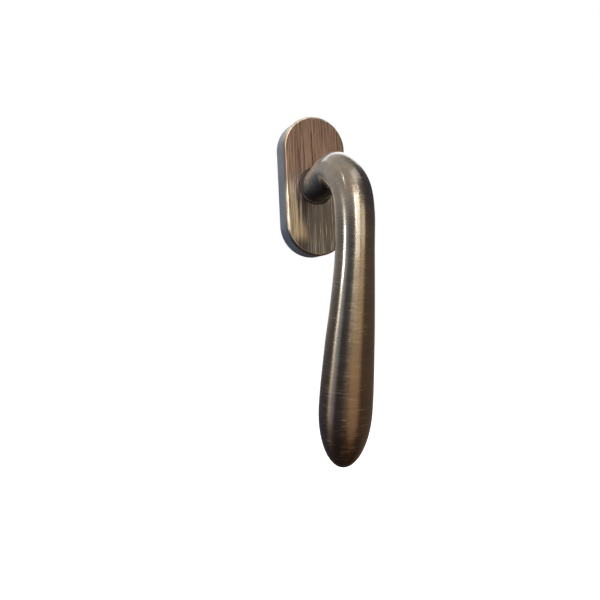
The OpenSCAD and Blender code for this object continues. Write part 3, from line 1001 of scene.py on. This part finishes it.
SLEEVE = [(2.7, -2.5), (4.7, -2.5), (5.0, -2.2), (5.0, 0.0), (5.5, 0.0), (5.5, 8.2), (6.3, 8.2),
          (6.3, 9.6), (4.5, 9.6), (4.5, 9.3), (2.7, 7.5)]
sleeve_top = turn_part("sleeve_upper", SLEEVE, up=SCREW_UP, edge=0.08)
paint(sleeve_top, "plated_steel")
smooth(sleeve_top, 35)
sleeve_bottom = copy_piece(sleeve_top, "sleeve_lower", on_rose(0, -2 * SCREW_UP, 0))
for sleeve, node in ((sleeve_top, "boss_sleeve_top"), (sleeve_bottom, "boss_sleeve_bottom")):
    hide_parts(node)
    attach(sleeve, "rose")

# %% [markdown]
# ### Back plate and rivets
# The plate that closes the mechanism is stamped from sheet, so its corners are round and its
# edges slightly rolled. Its holes are cut with rods. The rivets have low domed heads: one is
# turned, and three copies are joined to it, because the four are one part in the drawing.

# %% The back plate
PLATE_HALF_W, PLATE_HALF_H, PLATE_CORNER, PLATE_OUT, PLATE_SHEET = 13.75, 15.5, 4.0, 0.3, 1.0
PLATE_HOLE_R, RIVET_RIGHT, RIVET_UP, RIVET_R = 6.0, 5.5, 13.2, 1.2
RIVETS = [(x * RIVET_RIGHT, y * RIVET_UP) for x in (-1, 1) for y in (-1, 1)]
# The cutting rods reach from behind the plate to inside the rose.
ROD_FROM, ROD_TO, PLATE_EDGE = -1, 3, 0.12


def stamp_plate():
    take_up()
    bpy.ops.mesh.primitive_plane_add(size=2, location=on_rose(0, 0, PLATE_OUT),
                                     rotation=TOWARDS_ROOM)
    bpy.context.object.scale = (PLATE_HALF_W * MM, PLATE_HALF_H * MM, 1)
    plate = start_piece("closing_plate")
    open_up(plate)
    bpy.ops.mesh.select_all(action="SELECT")
    bpy.ops.mesh.bevel(offset=PLATE_CORNER * MM, segments=10, affect="VERTICES")
    bpy.ops.mesh.select_all(action="SELECT")
    bpy.ops.mesh.extrude_region_move(
        TRANSFORM_OT_translate={"value": on_rose(0, 0, PLATE_SHEET)})
    bpy.ops.mesh.select_all(action="SELECT")
    bpy.ops.mesh.normals_make_consistent(inside=False)
    cut_away(plate, [spare_rod(PLATE_HOLE_R, (0, 0, ROD_FROM), (0, 0, ROD_TO), 64)]
             + [spare_rod(RIVET_R, (x, y, ROD_FROM), (x, y, ROD_TO), 24) for x, y in RIVETS])
    finish_with(plate, "BEVEL", width=PLATE_EDGE * MM, segments=2, limit_method="ANGLE",
                angle_limit=math.radians(50))
    return plate


plate = stamp_plate()
paint(plate, "plated_steel")
smooth(plate, FLAT_STAYS_FLAT)
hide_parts("back_plate")
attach(plate, "rose")

# %% The four rivets
RIVET = [(1.2, 5.0), (1.2, 0.3), (2.0, 0.3), (1.95, 0.18), (1.6, 0.08), (0.9, 0.05)]
first_rivet = turn_part("plate_rivet_set", RIVET, sides=24, hollow=False,
                        right=RIVETS[0][0], up=RIVETS[0][1])
paint(first_rivet, "plated_steel")
more = [copy_piece(first_rivet, f"rivet_{n}", on_rose(x - RIVETS[0][0], y - RIVETS[0][1], 0))
        for n, (x, y) in enumerate(RIVETS[1:])]
take_up(first_rivet)
for rivet in more:
    rivet.select_set(True)
bpy.ops.object.join()
smooth(first_rivet, 40)
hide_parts("plate_rivets")
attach(first_rivet, "rose")

# %% [markdown]
# ### Spindle
# The square spindle is drawn bar, cut and chamfered at both ends, with its long edges
# slightly round. A cube of the bar's size is bevelled twice: the ends first, and then every
# edge that runs along the bar. The hole for the cross pin is cut last.

# %% The square spindle
SPINDLE_BEHIND, SPINDLE_IN = -30, 23
LONG_EDGE, END_CHAMFER, BESIDE_BAR = 0.42, 0.7, 5


def draw_spindle():
    take_up()
    spindle = spare_block((-SPINDLE_HALF, -SPINDLE_HALF, SPINDLE_BEHIND),
                          (SPINDLE_HALF, SPINDLE_HALF, SPINDLE_IN))
    spindle.name = spindle.data.name = "square_bar"
    open_up(spindle)
    pick(spindle, lambda f: round(abs(f.normal.y)) == 1, "FACE")
    bpy.ops.mesh.bevel(offset=END_CHAMFER * MM, segments=1)
    pick(spindle, lambda e: abs((e.verts[0].co - e.verts[1].co).y) > END_CHAMFER / 2 * MM,
         "EDGE")
    bpy.ops.mesh.bevel(offset=LONG_EDGE * MM, segments=3)
    cut_away(spindle, [spare_rod(PIN_R, (-BESIDE_BAR, 0, PIN_OUT), (BESIDE_BAR, 0, PIN_OUT))])
    return spindle


spindle = draw_spindle()
paint(spindle, "plated_steel")
smooth(spindle, FLAT_STAYS_FLAT)
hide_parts("spindle")
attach(spindle, "lever_arm")

# %% [markdown]
# ### Screws
# An M5 screw has a thread of 0.8 mm pitch. One turn of the thread's outline is wound up with
# a Screw modifier, longer than it has to be, and both ends are then cut off flat with bisect.
# The head and the shank are turned, and the cross recess is cut with two blocks.

# %% One turn of thread, wound up and cut to length
PITCH, THREAD_R, CORE_R = 0.8, 2.5, 2.04
THREAD_FROM, THREAD_TO, SCREW_TIP = -2.7, -23.9, -24.7
TURN_STEPS = 24
# Along one pitch, in millimetres: the end of the root, and both ends of the crest
ROOT_TO, CREST_FROM, CREST_TO = 0.1, 0.38, 0.48
# Points this close, in metres, are welded, and a cut doesn't snap to points beyond this.
WELD, CUT_EXACTLY = 2e-6, 1e-7


def wind_thread():
    take_up()
    bpy.ops.mesh.primitive_plane_add(size=1, location=(0, 0, 0))
    thread = start_piece("thread")
    open_up(thread)
    bpy.ops.mesh.delete(type="ONLY_FACE")
    pick(thread, lambda v: v.co.x > 0 and v.co.y > 0)
    bpy.ops.mesh.delete(type="VERT")
    pick(thread, lambda v: True)
    bpy.ops.mesh.subdivide(number_cuts=1)
    shape = bmesh.from_edit_mesh(thread.data)
    outline = [(CORE_R, 0), (CORE_R, ROOT_TO), (THREAD_R, CREST_FROM), (THREAD_R, CREST_TO),
               (CORE_R, PITCH)]
    chain = sorted(shape.verts, key=lambda v: v.co.y - v.co.x)
    for vertex, (radius, down) in zip(chain, outline):
        vertex.co = (radius * MM, down * MM, 0)
    bmesh.update_edit_mesh(thread.data)
    turns = math.ceil((THREAD_FROM - THREAD_TO) / PITCH) + 2
    bpy.ops.object.mode_set(mode="OBJECT")
    finish_with(thread, "SCREW", axis="Y", screw_offset=PITCH * MM, iterations=turns,
                steps=TURN_STEPS, render_steps=TURN_STEPS, use_normal_calculate=True,
                use_merge_vertices=True)
    thread.data.transform(Matrix.Translation(on_rose(0, 0, THREAD_FROM + PITCH)))
    open_up(thread)
    bpy.ops.mesh.select_all(action="SELECT")
    bpy.ops.mesh.remove_doubles(threshold=WELD)
    for out, facing in ((THREAD_FROM, -1), (THREAD_TO, 1)):
        bpy.ops.mesh.select_all(action="SELECT")
        bpy.ops.mesh.bisect(plane_co=on_rose(0, 0, out), plane_no=(0, facing, 0),
                            use_fill=True, clear_outer=True, threshold=CUT_EXACTLY)
    bpy.ops.mesh.select_all(action="SELECT")
    bpy.ops.mesh.normals_make_consistent(inside=False)
    return thread


thread = wind_thread()
take_up()
print("thread faces:", len(thread.data.polygons))

# %% Head, shank, tip and cross recess
HEAD_OUT, HEAD_R, SHANK_R, HEAD_BREAK = 9.3, 4.48, 2.24, 0.08
CROSS_HALF, CROSS_ARM, CROSS_FLOOR, ABOVE_HEAD = 2.3, 0.45, 7.3, 12
TIP_END = [(2.3, THREAD_TO), (2.1, THREAD_TO - 0.3), (1.5, SCREW_TIP)]


def turn_screw(thread):
    profile = [(SHANK_R, THREAD_FROM), (SHANK_R, HEAD_OUT - HEAD_R + SHANK_R),
               (HEAD_R, HEAD_OUT - HEAD_BREAK), (HEAD_R - HEAD_BREAK, HEAD_OUT)]
    head = turn_part("upper_screw", profile, sides=48, hollow=False)
    cut_away(head, [spare_block((-x, -y, CROSS_FLOOR), (x, y, ABOVE_HEAD))
                    for x, y in ((CROSS_HALF, CROSS_ARM), (CROSS_ARM, CROSS_HALF))])
    tip = turn_part("tip", TIP_END, sides=48, hollow=False)
    take_up(head)
    thread.select_set(True)
    tip.select_set(True)
    bpy.ops.object.join()
    head.data.transform(Matrix.Translation(on_rose(0, SCREW_UP, 0)))
    return head


upper_screw = turn_screw(thread)
paint(upper_screw, "screw_steel")
smooth(upper_screw, 30)
lower_screw = copy_piece(upper_screw, "lower_screw", on_rose(0, -2 * SCREW_UP, 0))
for screw in (upper_screw, lower_screw):
    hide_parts("fixing_screws")
    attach(screw, "rose")

# %% [markdown]
# ## The sizes of the finished handle
# The finished handle has to fill the same box as the drawn one. Both boxes are written down
# side by side.

# %% Write the sizes
visual_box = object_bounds()
for corner, drawn, shown in zip(("low", "high"), cad_box, visual_box):
    print(corner, [round(v * 1000, 2) for v in drawn], [round(v * 1000, 2) for v in shown])
